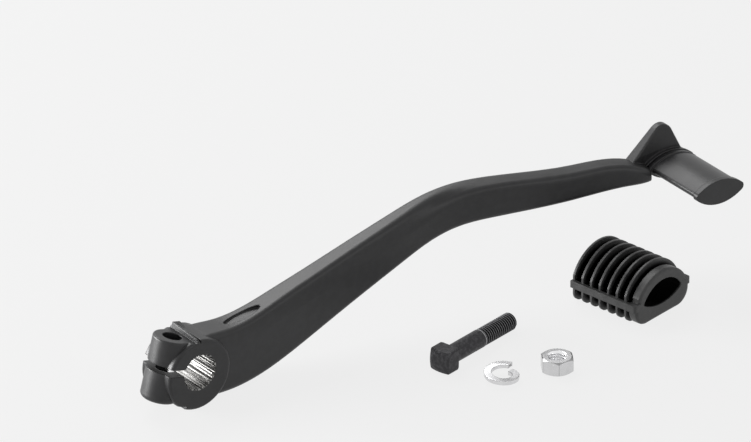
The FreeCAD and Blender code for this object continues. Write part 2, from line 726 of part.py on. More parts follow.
core_profile = outboard_sketch(rubber, "core_profile", "-$rubber_length / 2 + $rib_width / 2")
arch(core_profile, "$rib_depth")
extrude(rubber, "Pad", "core", core_profile, "$rubber_length - $rib_width / 2 - $nose_length / 2")
nose_profile = outboard_sketch(rubber, "nose_profile", "$rubber_length / 2 - $nose_length")
arch(nose_profile, "$rib_depth / 2")
extrude(rubber, "Pad", "nose", nose_profile, "$nose_length")
# Under its flange the front collar is as wide as the flange
sole_profile = outboard_sketch(rubber, "sole_profile", "$rubber_length / 2 - $nose_length")
add_outline(sole_profile, [
    ("$rubber_width / 2", "$keel_corner - $rubber_keel"),
    ("$rubber_width / 2", "0"),
    ("-$rubber_width / 2", "0"),
    ("-$rubber_width / 2", "$keel_corner - $rubber_keel"),
    ("$keel_corner - $rubber_width / 2", "-$rubber_keel"),
    ("$rubber_width / 2 - $keel_corner", "-$rubber_keel"),
], {3: "$keel_corner", 5: "$keel_corner"})
extrude(rubber, "Pad", "sole", sole_profile, "$nose_length")
rib_profile = outboard_sketch(rubber, "rib_profile", "-$rubber_length / 2")
arch(rib_profile, "0")
rib = extrude(rubber, "Pad", "rib", rib_profile, "$rib_width")
ribs = rubber.newObject("PartDesign::LinearPattern", "ribs")
ribs.Originals = [rib]
ribs.Direction = (rib_profile, ["N_Axis"])
bind(ribs, "Length", "($rib_count - 1) * $rib_pitch")
bind(ribs, "Occurrences", "$rib_count")
rubber.Tip = ribs
settle()
flange_profile = outboard_sketch(rubber, "flange_profile", "-$rubber_length / 2")
add_box(flange_profile, "-$rubber_width / 2", "$rubber_width / 2",
        "-$rubber_flange / 2", "$rubber_flange / 2")
extrude(rubber, "Pad", "flange", flange_profile, "$rubber_length")
hollow_profile = outboard_sketch(rubber, "hollow_profile", "0")
add_lens(hollow_profile, "($hollow_width / 2)", "$hollow_height", "$hollow_floor", "$hollow_tip")
extrude(rubber, "Pocket", "hollow", hollow_profile, both_ways=True)

place(rubber, "$rubber_x", "$rubber_y", BENCH + " + $rubber_keel", "$rubber_turn")
place(nut, "$nut_x", "$nut_y", BENCH, "$nut_turn")
place(washer, "$washer_x", "$washer_y", BENCH, "$washer_turn")
# The bolt lies on its head's lower edge and its thread, so it leans a little
BOLT_LEAN = "atan(($head_width / 2 - (%s)) / ($bolt_length - $tip_chamfer))" % THREAD_RADIUS
bind(bolt, "Placement", "placement(vector($bolt_x; $bolt_y; %s + $head_width / 2 * cos(%s)); "
     "rotation($bolt_turn; %s; 0))" % (BENCH, BOLT_LEAN, BOLT_LEAN))

pieces = [lever, rubber, bolt, washer, nut]
settle()
for piece in pieces:
    if piece.Shape.isNull() or not piece.Shape.isValid():
        raise RuntimeError(piece.Label + " has no valid shape")

os.makedirs("parts", exist_ok=True)
for piece in pieces:
    piece.Shape.exportStep("parts/%s.step" % piece.Label)
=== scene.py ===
"""Kick start lever with its loose pedal rubber and fasteners: finishes, threads, ribs and studio."""
import math

import bpy
import numpy as np
from bpy.props import FloatProperty, FloatVectorProperty, IntProperty, PointerProperty
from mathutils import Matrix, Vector


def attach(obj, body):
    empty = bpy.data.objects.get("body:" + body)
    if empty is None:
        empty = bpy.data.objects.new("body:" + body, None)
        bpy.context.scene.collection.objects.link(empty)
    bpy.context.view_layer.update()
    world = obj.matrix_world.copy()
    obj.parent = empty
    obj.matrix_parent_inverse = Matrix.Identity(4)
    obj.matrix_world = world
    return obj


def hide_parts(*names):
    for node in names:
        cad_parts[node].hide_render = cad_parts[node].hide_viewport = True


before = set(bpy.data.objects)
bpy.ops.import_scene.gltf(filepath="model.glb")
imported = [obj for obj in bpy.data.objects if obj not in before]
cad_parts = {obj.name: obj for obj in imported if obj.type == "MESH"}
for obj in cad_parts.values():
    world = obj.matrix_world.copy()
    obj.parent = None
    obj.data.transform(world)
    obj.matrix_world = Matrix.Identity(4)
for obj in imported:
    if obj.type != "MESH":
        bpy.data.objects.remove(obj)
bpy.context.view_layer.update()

bl_info = {
    "name": "Kick start lever looks",
    "version": (1, 0, 0),
    "blender": (4, 5, 0),
    "location": "View3D > Sidebar > Kick lever",
    "description": "Finishes, threads, ribs and studio for a kick start lever",
    "category": "Object",
}


# Settings

class StudioSettings(bpy.types.PropertyGroup):
    azimuth: FloatProperty(
        name="Azimuth", description="Where the camera stands round the lever",
        default=math.radians(-38), unit="ROTATION")
    elevation: FloatProperty(
        name="Elevation", description="How high the camera looks from",
        default=math.radians(29), unit="ROTATION")
    distance: FloatProperty(
        name="Distance", description="From the camera to the point it looks at", default=6.0, unit="LENGTH")
    frame_width: FloatProperty(
        name="Frame width", description="Width of the picture at that point", default=0.3129, unit="LENGTH")
    target: FloatVectorProperty(
        name="Target", description="Point the camera looks at", default=(0.0998, 0.0, 0.0332),
        subtype="XYZ", unit="LENGTH")
    bench: FloatProperty(
        name="Bench", description="Height of the floor under the hub", default=-0.01735, unit="LENGTH")
    backdrop: FloatProperty(
        name="Backdrop", description="How bright the floor and backdrop look", default=0.905,
        subtype="FACTOR")
    fill: FloatProperty(
        name="Fill", description="How much light comes from all round", default=0.25, subtype="FACTOR")
    overhead: FloatProperty(
        name="Overhead light", description="Power of the large lamp above and behind", default=7.5,
        unit="POWER")
    side: FloatProperty(
        name="Side light", description="Power of the low lamp behind the hub", default=24.0, unit="POWER")
    front: FloatProperty(
        name="Front light", description="Power of the weak lamp near the camera", default=1.6, unit="POWER")


class LeverSettings(bpy.types.PropertyGroup):
    paint: FloatVectorProperty(
        name="Paint", description="Colour of the satin black paint", default=(0.020, 0.020, 0.021),
        subtype="COLOR")
    steel: FloatVectorProperty(
        name="Bare steel", description="Colour of the machined splines", default=(0.78, 0.77, 0.75),
        subtype="COLOR")
    bore_radius: FloatProperty(
        name="Bore radius", description="Radius out to which the bore is bare", default=0.0083,
        unit="LENGTH")


class RubberSettings(bpy.types.PropertyGroup):
    colour: FloatVectorProperty(
        name="Rubber", description="Colour of the rubber", default=(0.034, 0.034, 0.034), subtype="COLOR")
    place: FloatVectorProperty(
        name="Place", description="Middle of the rubber on the bench", default=(0.1976, -0.0484, -0.0081),
        subtype="XYZ", unit="LENGTH")
    turn: FloatProperty(
        name="Turn", description="How far it is turned on the bench", default=math.radians(10.9),
        unit="ROTATION")
    length: FloatProperty(name="Length", description="End to end", default=0.0355, unit="LENGTH")
    width: FloatProperty(name="Width", description="Across the flanges", default=0.036, unit="LENGTH")
    flange: FloatProperty(
        name="Flange", description="Thickness of the flanges", default=0.0032, unit="LENGTH")
    proud: FloatProperty(name="Proud", description="Flange beyond the ribs", default=0.0015, unit="LENGTH")
    dome: FloatProperty(
        name="Dome", description="Top of the ribs over the middle", default=0.0141, unit="LENGTH")
    keel: FloatProperty(name="Keel", description="Underside below the middle", default=0.0092, unit="LENGTH")
    shoulder: FloatProperty(
        name="Shoulder", description="Where the dome begins", default=0.0038, unit="LENGTH")
    corner: FloatProperty(
        name="Corner", description="Radius of the keel's corners", default=0.0045, unit="LENGTH")
    ribs: IntProperty(name="Ribs", description="Number of ribs", default=7)
    rib_width: FloatProperty(name="Rib width", description="Width of each rib", default=0.0013, unit="LENGTH")
    rib_pitch: FloatProperty(name="Rib pitch", description="From rib to rib", default=0.0047, unit="LENGTH")
    rib_depth: FloatProperty(
        name="Rib depth", description="Depth of the gaps over the middle", default=0.0044, unit="LENGTH")
    side_depth: FloatProperty(
        name="Side depth", description="Depth of the gaps at the sides", default=0.0032, unit="LENGTH")
    nose: FloatProperty(
        name="Nose", description="Length of the plain front collar", default=0.0046, unit="LENGTH")
    hollow_width: FloatProperty(
        name="Hollow width", description="Inside width", default=0.0248, unit="LENGTH")
    hollow_top: FloatProperty(
        name="Hollow top", description="Inside height over the middle", default=0.0076, unit="LENGTH")
    hollow_floor: FloatProperty(
        name="Hollow floor", description="Inside floor below the middle", default=0.0037, unit="LENGTH")


class BoltSettings(bpy.types.PropertyGroup):
    colour: FloatVectorProperty(
        name="Black oxide", description="Colour of the blackened steel", default=(0.075, 0.074, 0.078),
        subtype="COLOR")
    place: FloatVectorProperty(
        name="Place", description="Underside of the head on the bench", default=(0.1036, -0.0453, -0.0123),
        subtype="XYZ", unit="LENGTH")
    turn: FloatProperty(
        name="Turn", description="Turn on the bench", default=math.radians(13), unit="ROTATION")
    lean: FloatProperty(
        name="Lean", description="Dip of the tip", default=math.radians(1.575), unit="ROTATION")
    length: FloatProperty(name="Length", description="Under the head", default=0.041, unit="LENGTH")
    radius: FloatProperty(name="Radius", description="Radius of the shank", default=0.004, unit="LENGTH")
    thread: FloatProperty(name="Thread", description="Length of the thread", default=0.021, unit="LENGTH")
    pitch: FloatProperty(name="Pitch", description="Pitch of the thread", default=0.00125, unit="LENGTH")
    head: FloatProperty(name="Head", description="Across the head's flats", default=0.010, unit="LENGTH")
    head_height: FloatProperty(
        name="Head height", description="Thickness of the head", default=0.0076, unit="LENGTH")
    head_corner: FloatProperty(
        name="Head corner", description="Radius of the head's corners", default=0.0012, unit="LENGTH")
    point: FloatProperty(name="Point", description="Chamfer of the tip", default=0.0010, unit="LENGTH")
    crown: FloatProperty(
        name="Crown", description="Height of the head's chamfer", default=0.0014, unit="LENGTH")


class WasherSettings(bpy.types.PropertyGroup):
    zinc: FloatVectorProperty(
        name="Zinc", description="Colour of the zinc plating", default=(0.90, 0.90, 0.91), subtype="COLOR")
    place: FloatVectorProperty(
        name="Place", description="Middle of the washer on the bench", default=(0.1136, -0.0675, -0.0173),
        subtype="XYZ", unit="LENGTH")
    turn: FloatProperty(
        name="Turn", description="Turn of the split", default=math.radians(12.5), unit="ROTATION")
    outer: FloatProperty(name="Outer radius", description="Outside radius", default=0.0074, unit="LENGTH")
    inner: FloatProperty(name="Inner radius", description="Inside radius", default=0.0043, unit="LENGTH")
    thickness: FloatProperty(
        name="Thickness", description="Height of the wire", default=0.0019, unit="LENGTH")
    rise: FloatProperty(name="Rise", description="Rise from end to end", default=0.0032, unit="LENGTH")
    split: FloatProperty(name="Split", description="Gap between the ends", default=0.0003, unit="LENGTH")


class NutSettings(bpy.types.PropertyGroup):
    place: FloatVectorProperty(
        name="Place", description="Middle of the nut on the bench", default=(0.1371, -0.075, -0.0173),
        subtype="XYZ", unit="LENGTH")
    turn: FloatProperty(
        name="Turn", description="Turn on the bench", default=math.radians(-2), unit="ROTATION")
    width: FloatProperty(name="Width", description="Across the flats", default=0.013, unit="LENGTH")
    height: FloatProperty(name="Height", description="Thickness", default=0.0065, unit="LENGTH")
    chamfer: FloatProperty(
        name="Chamfer", description="Inset of the chamfer circle", default=0.0008, unit="LENGTH")


# Shader maths

class Wire:
    """The value of one shader socket; arithmetic on it adds Math nodes."""

    def __init__(self, tree, socket):
        self.tree, self.socket = tree, socket

    @classmethod
    def start(cls, tree, kind, output):
        """An output of a new node that takes nothing in."""
        return cls(tree, tree.nodes.new(kind).outputs[output])

    def also(self, output):
        """Another output of the node that this value comes from."""
        return Wire(self.tree, self.socket.node.outputs[output])

    def node(self, kind, settings=None, inputs=None, output=0):
        """Adds a node: its type, its settings, set first, then values or links by socket name or number."""
        made = self.tree.nodes.new(kind)
        for name, value in (settings or {}).items():
            setattr(made, name, value)
        for key, value in (inputs or {}).items():
            if isinstance(value, Wire):
                self.tree.links.new(value.socket, made.inputs[key])
            else:
                made.inputs[key].default_value = value
        return Wire(self.tree, made.outputs[output])

    def math(self, operation, *values):
        return self.node("ShaderNodeMath", {"operation": operation}, dict(enumerate(values)))

    def __add__(self, other):
        return self.math("ADD", self, other)

    __radd__ = __add__

    def __sub__(self, other):
        return self.math("SUBTRACT", self, other)

    def __rsub__(self, other):
        return self.math("SUBTRACT", other, self)

    def __mul__(self, other):
        return self.math("MULTIPLY", self, other)

    __rmul__ = __mul__

    def __pow__(self, other):
        return self.math("POWER", self, other)

    def step(self, low, high):
        """0 below low and 1 above high, smooth between them."""
        return self.node("ShaderNodeMapRange", {"interpolation_type": "SMOOTHSTEP"},
                         {"Value": self, "From Min": low, "From Max": high})


def node_of(tree, kind):
    """The tree's first node of a type."""
    return next(node for node in tree.nodes if node.type == kind)


def new_material(name, **constants):
    """A material with one Principled shader; constants are set on the shader's own sockets."""
    material = bpy.data.materials.new(name)
    material.use_nodes = True
    tree = material.node_tree
    shader = node_of(tree, "BSDF_PRINCIPLED")
    for socket, value in constants.items():
        shader.inputs[socket.replace("_", " ")].default_value = value
    return material, tree, shader


def place_on(tree):
    """The point of the surface that is shaded, in metres from the object's own origin."""
    return Wire.start(tree, "ShaderNodeTexCoord", "Object")


def plug(shader, **wires):
    """Links wires to the shader's sockets."""
    for socket, wire in wires.items():
        wire.tree.links.new(wire.socket, shader.inputs[socket.replace("_", " ")])


def stretched(point, scale):
    """The point with each direction scaled by its own factor."""
    return point.node("ShaderNodeVectorMath", {"operation": "MULTIPLY"}, {0: point, 1: scale})


def noise(point, scale, detail=3.0, roughness=0.5):
    """Cloudy values round 0.5, with scale clouds to the metre."""
    return point.node("ShaderNodeTexNoise", None,
                      {"Vector": point, "Scale": scale, "Detail": detail, "Roughness": roughness})


def blend(factor, first, second):
    """A colour between two colours or colour wires."""
    values = {0: factor}
    for index, colour in ((6, first), (7, second)):
        values[index] = colour if isinstance(colour, Wire) else (*colour, 1.0)
    return factor.node("ShaderNodeMix", {"data_type": "RGBA"}, values, output=2)


def shade(colour, factor):
    """A colour made lighter or darker."""
    return tuple(channel * factor for channel in colour)


def bumped(height, depth, strength, edge):
    """A normal from a height of 0 to 1 over a depth in metres, on edges softened over a radius."""
    softened = height.node("ShaderNodeBevel", {"samples": 6}, {"Radius": edge})
    return height.node("ShaderNodeBump", None,
                       {"Height": height, "Distance": depth, "Strength": strength, "Normal": softened})


# Surfaces from numpy grids

def wrap(rings, closed):
    """Quads between neighbouring rings of points; closed joins the last ring to the first."""
    count, around = rings.shape[:2]
    ring = np.arange(count if closed else count - 1)[:, None]
    point = np.arange(around)[None, :]
    ahead, beside = (ring + 1) % count, (point + 1) % around
    return np.stack([ring * around + point, ring * around + beside,
                     ahead * around + beside, ahead * around + point], axis=-1).reshape(-1, 4)


def surface(name, rings, closed, crease, raised):
    """An object whose skin is quads between neighbouring rings of points.

    An open run of rings is capped at both ends with a fan about the ring's middle point. Six times the
    volume inside is the sum, over the triangles, of the triple product of their corners: where it is below
    zero, all faces are turned round. raised, 0 to 1 for each point, is kept as an attribute for the
    material, from which the materials paint shade and highlights.
    """
    count, around = rings.shape[:2]
    points = rings.reshape(-1, 3)
    quads = wrap(rings, closed)
    fans = np.empty((0, 3), int)
    if not closed:
        points = np.vstack([points, rings[0].mean(axis=0), rings[-1].mean(axis=0)])
        start = np.arange(around)
        after = (start + 1) % around
        first, last = count * around, count * around + 1
        base = (count - 1) * around
        fans = np.vstack([np.stack([after, start, np.full(around, first)], axis=-1),
                          np.stack([base + start, base + after, np.full(around, last)], axis=-1)])
    a, b, c, d = (points[quads[:, corner]] for corner in range(4))
    volume = (np.cross(a, b) * c).sum() + (np.cross(a, c) * d).sum()
    if volume < 0:
        quads, fans = quads[:, ::-1], fans[:, ::-1]
    mesh = bpy.data.meshes.new(name)
    mesh.from_pydata(points.tolist(), [], quads.tolist() + fans.tolist())
    values = np.zeros(len(points), dtype=np.float32)
    values[:raised.size] = raised.ravel()
    mesh.attributes.new("raised", "FLOAT", "POINT").data.foreach_set("value", values)
    mesh.shade_smooth()
    mesh.set_sharp_from_angle(angle=crease)
    mesh.update()
    made = bpy.data.objects.new(name, mesh)
    bpy.context.scene.collection.objects.link(made)
    return made


def laid(points, place, turn, lean=0.0):
    """Points dipped along X by a lean, turned about the vertical and moved to their place on the bench."""
    c, s = math.cos(lean), math.sin(lean)
    x, y, z = points[..., 0] * c + points[..., 2] * s, points[..., 1], points[..., 2] * c - points[..., 0] * s
    c, s = math.cos(turn), math.sin(turn)
    return np.stack([x * c - y * s, x * s + y * c, z], axis=-1) + np.array(place)


def soft_min(a, b, softness):
    """The lesser of two arrays, rounded where they are nearer each other than the softness."""
    gap = np.clip(0.5 + 0.5 * (b - a) / softness, 0, 1)
    return b * (1 - gap) + a * gap - softness * gap * (1 - gap)


def ramp(x, low, high):
    """0 to 1 between two values, smooth at both ends: three times the square less twice the cube."""
    t = np.clip((x - low) / (high - low), 0, 1)
    return t * t * (3 - 2 * t)


def column(values):
    """Values one above the other, so that they spread over the directions of a ring."""
    return np.asarray(values)[:, None]


def turned(turn, runs):
    """Rings about an axis: places along it, both directions across it, and painted light shares.

    A run is some places along the axis, with a radius and a painted light share that may differ from place to
    place and with direction. Each point lies at its radius times the cosine and sine of its direction.
    """
    along, radius, raised = (
        np.concatenate([np.broadcast_to(run[part], (len(run[0]), len(turn))) for run in runs])
        for part in range(3))
    return along, radius * np.cos(turn), radius * np.sin(turn), raised


def thread_depth(along, angle, pitch):
    """Share of the thread's depth, 0 on the crest and 1 in the root, for points on a right-hand helix.

    The phase is the turns along the axis less the turns about it. The depth rises and falls evenly with it,
    cut flat over the crest and in the root.
    """
    phase = (along / pitch - angle / (2 * np.pi)) % 1.0
    rise = 1 - np.abs(2 * phase - 1)
    return np.clip((rise - 0.14) / 0.66, 0, 1)


# Shapes

# Points to the shortest side of the rubber's outline
SIDE_POINTS = 12


def line(start, end, count=SIDE_POINTS):
    """Points from a start up to an end that is left out."""
    t = column(np.arange(count)) / count
    return np.array(start) * (1 - t) + np.array(end) * t


def arc(centre, radius, start, end, count):
    """Points on a circle from a start angle up to an end angle that is left out."""
    t = start + (end - start) * np.arange(count) / count
    return np.stack([centre[0] + radius * np.cos(t), centre[1] + radius * np.sin(t)], axis=-1)


def arch_radius(half, rise):
    """Radius of the circle through two level points, each half a width out, and one a rise above them."""
    return (half ** 2 + rise ** 2) / (2 * rise)


def rubber_outline(s, gap, collar):
    """Points round the rubber, flange to flange: upright shoulders, a dome and a keel with round corners.

    gap is 0 on a rib and 1 between ribs. Where collar is 1 the lower half is nearly as wide as the flanges
    and its corners are rounder. The dome is the arc through both shoulders and the crown.
    """
    # The collar's foot stands in by a share of the flange's reach, and the keel's corners are sharper
    # between the ribs and rounder on the collar, by shares of their radius
    foot_inset, gap_sharper, collar_rounder = 0.7, 0.35, 0.5
    edge, lip = s.width / 2, s.flange / 2
    half = edge - s.proud - s.side_depth * gap
    crown = s.dome - s.rib_depth * gap
    foot = half * (1 - collar) + (edge - s.proud * foot_inset) * collar
    keel = s.keel - s.side_depth * gap * (1 - collar)
    bend = s.corner * (1 - gap_sharper * gap * (1 - collar) + collar_rounder * collar)
    radius = arch_radius(half, crown - s.shoulder)
    sweep = math.asin(half / radius)
    quarter = math.pi / 2
    return np.vstack([
        line((edge, -lip), (edge, lip)),
        line((edge, lip), (half, lip)),
        line((half, lip), (half, s.shoulder)),
        arc((0, crown - radius), radius, quarter - sweep, quarter + sweep, SIDE_POINTS * 10),
        line((-half, s.shoulder), (-half, lip)),
        line((-half, lip), (-edge, lip)),
        line((-edge, lip), (-edge, -lip)),
        line((-edge, -lip), (-foot, -lip)),
        line((-foot, -lip), (-foot, bend - keel)),
        arc((bend - foot, bend - keel), bend, 2 * quarter, 3 * quarter, SIDE_POINTS * 2),
        line((bend - foot, -keel), (foot - bend, -keel), SIDE_POINTS * 2),
        arc((foot - bend, bend - keel), bend, 3 * quarter, 4 * quarter, SIDE_POINTS * 2),
        line((foot, bend - keel), (foot, -lip)),
        line((foot, -lip), (edge, -lip)),
    ])


def hollow_outline(s, towards):
    """Points of the hollow in the same directions as the given points: an arch over a shallow bowl.

    Each is where the ray from the middle meets the nearer of the arch's circle and the bowl's, softened
    where the two cross. A ray meets a circle at the root of the squared radius, less the squared distance
    between the middles, plus that distance's squared share along the ray, less the share itself.
    """
    corner = 0.0016
    centre = np.array([0.0, (s.hollow_top - s.hollow_floor) / 2])
    ray = towards - centre
    ray = ray / np.linalg.norm(ray, axis=-1, keepdims=True)

    def reach(rise, upward):
        radius = arch_radius(s.hollow_width / 2, rise)
        offset = centre - np.array([0.0, upward * (rise - radius)])
        along = ray @ offset
        return np.sqrt(along ** 2 - offset @ offset + radius ** 2) - along

    return centre + ray * column(soft_min(reach(s.hollow_top, 1), reach(s.hollow_floor, -1), corner))


def rubber_rings(s):
    """Rings of the ribbed rubber and how much painted light each point gets, low where shade is painted.

    Outlines stand square to the rubber's length, from its back to its front. Between ribs the outline sinks
    by the gap's depth, by a ramp on the distance to the nearest rib's middle. The skin then goes straight
    across the front face, back along the hollow and across the back face to the first outline.
    """
    # Where a rib's flank starts and ends, in widths of the rib, and where the collar's end does
    flank_start, flank_end = 0.42, 0.62
    collar_start, collar_end = s.nose - 0.0007, s.nose + 0.0001
    front_round = 0.0009
    face_steps, bore_steps = 8, 24
    back = s.length / 2
    front = -back
    centres = back - s.rib_width / 2 - np.arange(s.ribs) * s.rib_pitch
    # Outlines close together on each rib's flanks and wider apart on the flats, in widths of the rib
    offsets = np.array([-0.62, -0.56, -0.5, -0.44, -0.36, -0.15, 0.15, 0.36, 0.44, 0.5, 0.56, 0.62])
    rows = np.unique(np.concatenate([
        (centres[:, None] + offsets * s.rib_width).ravel(),
        np.linspace(front, front + s.nose + 0.0006, 18), np.linspace(front, back, 60)]))
    rows = rows[(rows >= front) & (rows <= back)][::-1]
    near_rib = np.abs(rows[:, None] - centres).min(axis=1)
    rib = 1 - ramp(near_rib, s.rib_width * flank_start, s.rib_width * flank_end)
    collar = 1 - ramp(rows - front, collar_start, collar_end)
    gap = 1 - np.maximum(rib, collar * 0.5)
    outer = np.stack([rubber_outline(s, *shares) for shares in zip(gap, collar)])
    # Painted shade darkens the gaps between ribs, less on the collar, while the flanges keep full painted
    # light
    on_flange = np.abs(outer[..., 0]) > s.width / 2 - s.proud - 0.0001
    proud = np.where(on_flange, 1.0, np.clip(1 - column(gap) * (1 - column(collar)), 0, 1))
    # The collar's front edge is rounded over, by drawing its points in on a quarter circle
    near_front = np.clip(1 - (rows - front) / front_round, 0, 1)
    draw_in = front_round * (1 - np.sqrt(1 - near_front ** 2))
    middle = np.array([0.0, 0.002])
    radial = outer - middle
    reach = np.linalg.norm(radial, axis=-1, keepdims=True)
    outer = middle + radial * (1 - draw_in[:, None, None] / reach)
    inner_front = hollow_outline(s, outer[-1])
    inner_back = hollow_outline(s, outer[0])
    face = np.linspace(0, 1, face_steps)[1:, None, None]
    front_face = outer[-1] * (1 - face) + inner_front * face
    share = np.linspace(0, 1, bore_steps)[1:, None, None]
    bore = inner_front * (1 - share) + inner_back * share
    back_face = inner_back * (1 - face[:-1]) + outer[0] * face[:-1]
    flat = np.concatenate([outer, front_face, bore, back_face])
    along = np.concatenate([rows, np.full(len(front_face), front),
                            np.linspace(front, back, bore_steps)[1:], np.full(len(back_face), back)])
    rings = np.stack([flat[..., 0], np.broadcast_to(column(along), flat.shape[:2]), flat[..., 1]], axis=-1)
    # Painted shade: the hollow's wall is painted as dark as the gaps
    raised = np.ones(flat.shape[:2])
    raised[:len(outer)] = proud
    inside = len(outer) + len(front_face)
    raised[inside:inside + len(bore) - 1] = 0
    return rings, raised


def bolt_rings(s):
    """Rings of the bolt from the face of its head to its tip, along X, and how much painted light each point
    gets.

    The head is a square, the lesser of its four flats in each direction, cut by a cone at its face and a
    steep one underneath. The thread takes a crest radius down to a root radius by the thread's depth, and
    its end is cut by a 45 degree cone.
    """
    # The shank at the head as a share of its radius, and the step, crest and root below it
    fillet, step_drop, crest_drop, root_drop = 1.12, 0.0001, 0.0001, 0.00085
    # Shares of half the head by which the cone at the face passes the flats, and to which the cone
    # underneath reaches at the shank, and how fast that one widens towards the face
    face_cone, under_cone, under_slope = 0.5, 1.3, 3.0
    # Painted light share on the thread's crests, which the material paints as a highlight
    crest_shine = 0.92
    turn = np.linspace(0, 2 * np.pi, 180, endpoint=False)
    flat = s.head / 2
    square = soft_min(flat / np.maximum(np.abs(np.cos(turn)), 1e-3),
                      flat / np.maximum(np.abs(np.sin(turn)), 1e-3), s.head_corner)

    def head(x):
        """Radius of the head in each direction, at distances along the bolt."""
        cone = flat - s.crown + (x + s.head_height) * (flat * face_cone + s.crown) / s.crown
        under = flat * under_cone - x * under_slope
        return soft_min(soft_min(square, cone, 0.0006), under, 0.0004)

    top = -s.head_height
    face = column([0.03, 0.3, 0.6, 0.85])
    sides = column(np.concatenate([np.linspace(top, top + 2 * s.crown, 16),
                                   np.linspace(top + 2.4 * s.crown, -0.0004, 8)]))
    under = column([0.97, 0.8, 0.5, 0.2])
    start = s.length - s.thread
    shank = column(np.linspace(0.001, start - 0.0006, 12))
    root, crest = s.radius - root_drop, s.radius - crest_drop
    thread = column(np.linspace(start + 0.0002, s.length, 300))
    depth = thread_depth(thread, turn, s.pitch)
    fade = ramp(thread, start, start + s.pitch * 0.8)
    cut = np.minimum(crest - (crest - root) * depth * fade, crest - s.point + (s.length - thread))
    tip = column([0.8, 0.4, 0.04])
    along, y, z, raised = turned(turn, [
        (face * 0 + top, head(top) * face, 0.0),
        (sides, head(sides), 0.0),
        (under * 0, s.radius * fillet * (1 - under) + head(0.0) * under, 0.0),
        (column([0.0, 0.00015, 0.0006]), s.radius * column([fillet, 1.06, 1.0]), 0.0),
        (shank, s.radius, 0.0),
        # A turned step where the thread begins, with a painted highlight
        (column([start - 0.0005, start - 0.0003, start - 0.0001]), s.radius, 1.0),
        (column([start]), s.radius - step_drop, 1.0),
        (thread, cut, crest_shine * (1 - depth)),
        (tip * 0 + s.length, (crest - s.point) * tip, 0.0),
    ])
    return np.stack([along, y, z], axis=-1), raised


def washer_rings(s):
    """Rings of the washer's wire and how bright each point is.

    The wire's section is a superellipse: half the width and half the height, each times the cosine and
    sine to a small power, so that it is a rectangle with round corners. It is carried round a left-hand
    coil, which rises evenly as it runs clockwise.
    """
    power = 0.16
    sweep = column(np.linspace(0, 2 * np.pi - s.split / s.outer, 160))
    turn = np.linspace(0, 2 * np.pi, 96, endpoint=False)
    across, upright = np.abs(np.cos(turn)) ** power, np.abs(np.sin(turn)) ** power
    radius = (s.outer + s.inner) / 2 + (s.outer - s.inner) / 2 * np.sign(np.cos(turn)) * across
    lift = s.rise * sweep / (2 * np.pi) + s.thickness / 2
    height = lift + s.thickness / 2 * np.sign(np.sin(turn)) * upright
    rings = np.stack([radius * np.cos(sweep), -radius * np.sin(sweep), height], axis=-1)
    # Painted shade: the corners are painted darker than the faces, and the sides a little darker than the top
    side = ramp(across, 0.97, 1.0) * 0.2
    corner = ramp(np.minimum(across, upright), 0.87, 0.93)
    return rings, np.broadcast_to(1 - np.maximum(side, corner), rings.shape[:2])


def nut_rings(s, bolt):
    """Rings of the nut, up its sides and down its thread, and how bright each point is.

    The outside is half the width over the cosine of the angle from the nearest flat's middle, cut at both
    ends by a cone of 30 degrees. The thread has the bolt's pitch, and opens by 45 degrees at both mouths.
    """
    # The thread's crests inside the bolt's radius, and its mouths outside it
    minor_drop, mouth_rise = 0.00068, 0.00025
    turn = np.linspace(0, 2 * np.pi, 240, endpoint=False)
    wedge = turn % (math.pi / 3) - math.pi / 6
    hexagon = soft_min(s.width / 2 / np.cos(wedge), s.width / math.sqrt(3) - 0.0001, 0.0002)
    rim = s.width / 2 - s.chamfer / 2
    # Painted shade: the six upright edges and the chamfers are painted darker than the faces, and the sides
    # darker than the ends and the thread
    upright = 0.72 - 0.4 * ramp(np.abs(wedge), math.pi / 6 - 0.03, math.pi / 6 - 0.012)
    levels = column(np.concatenate([
        np.linspace(0, 0.0012, 14), np.linspace(0.0016, s.height - 0.0016, 10),
        np.linspace(s.height - 0.0012, s.height, 14)]))
    slope = 1 / math.tan(math.radians(30))
    cone = rim + np.minimum(levels, s.height - levels) * slope
    chamfer = ramp(hexagon - cone, 0.0, 0.0001)
    face = column([0.92, 0.6, 0.3, 0.0])
    mouth = bolt.radius + mouth_rise
    across_face = mouth * (1 - face) + rim * face
    minor = bolt.radius - minor_drop
    thread = column(np.linspace(s.height, 0, 90)[1:-1])
    depth = thread_depth(thread, turn, bolt.pitch)
    groove = np.maximum(minor + (bolt.radius - minor) * (1 - depth),
                        mouth - np.minimum(thread, s.height - thread))
    height, x, y, raised = turned(turn, [
        (levels, soft_min(hexagon, cone, 0.00008), upright * (1 - chamfer * 0.6)),
        (face * 0 + s.height, across_face, 1.0),
        (thread, groove, 1.0),
        (face * 0, across_face[::-1], 1.0),
    ])
    return np.stack([x, y, height], axis=-1), raised


def finish_piece(piece, material, node):
    """Gives a new piece its material and its body, and hides the CAD node that it stands for."""
    piece.data.materials.append(material)
    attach(piece, "root")
    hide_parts(node)


# Finishes

def painted_light_share(point):
    """The mesh's own attribute of painted light and shade: 1 on crests and ribs and 0 in the gaps between
    them.
    """
    return point.node("ShaderNodeAttribute", {"attribute_name": "raised"}, output=2)


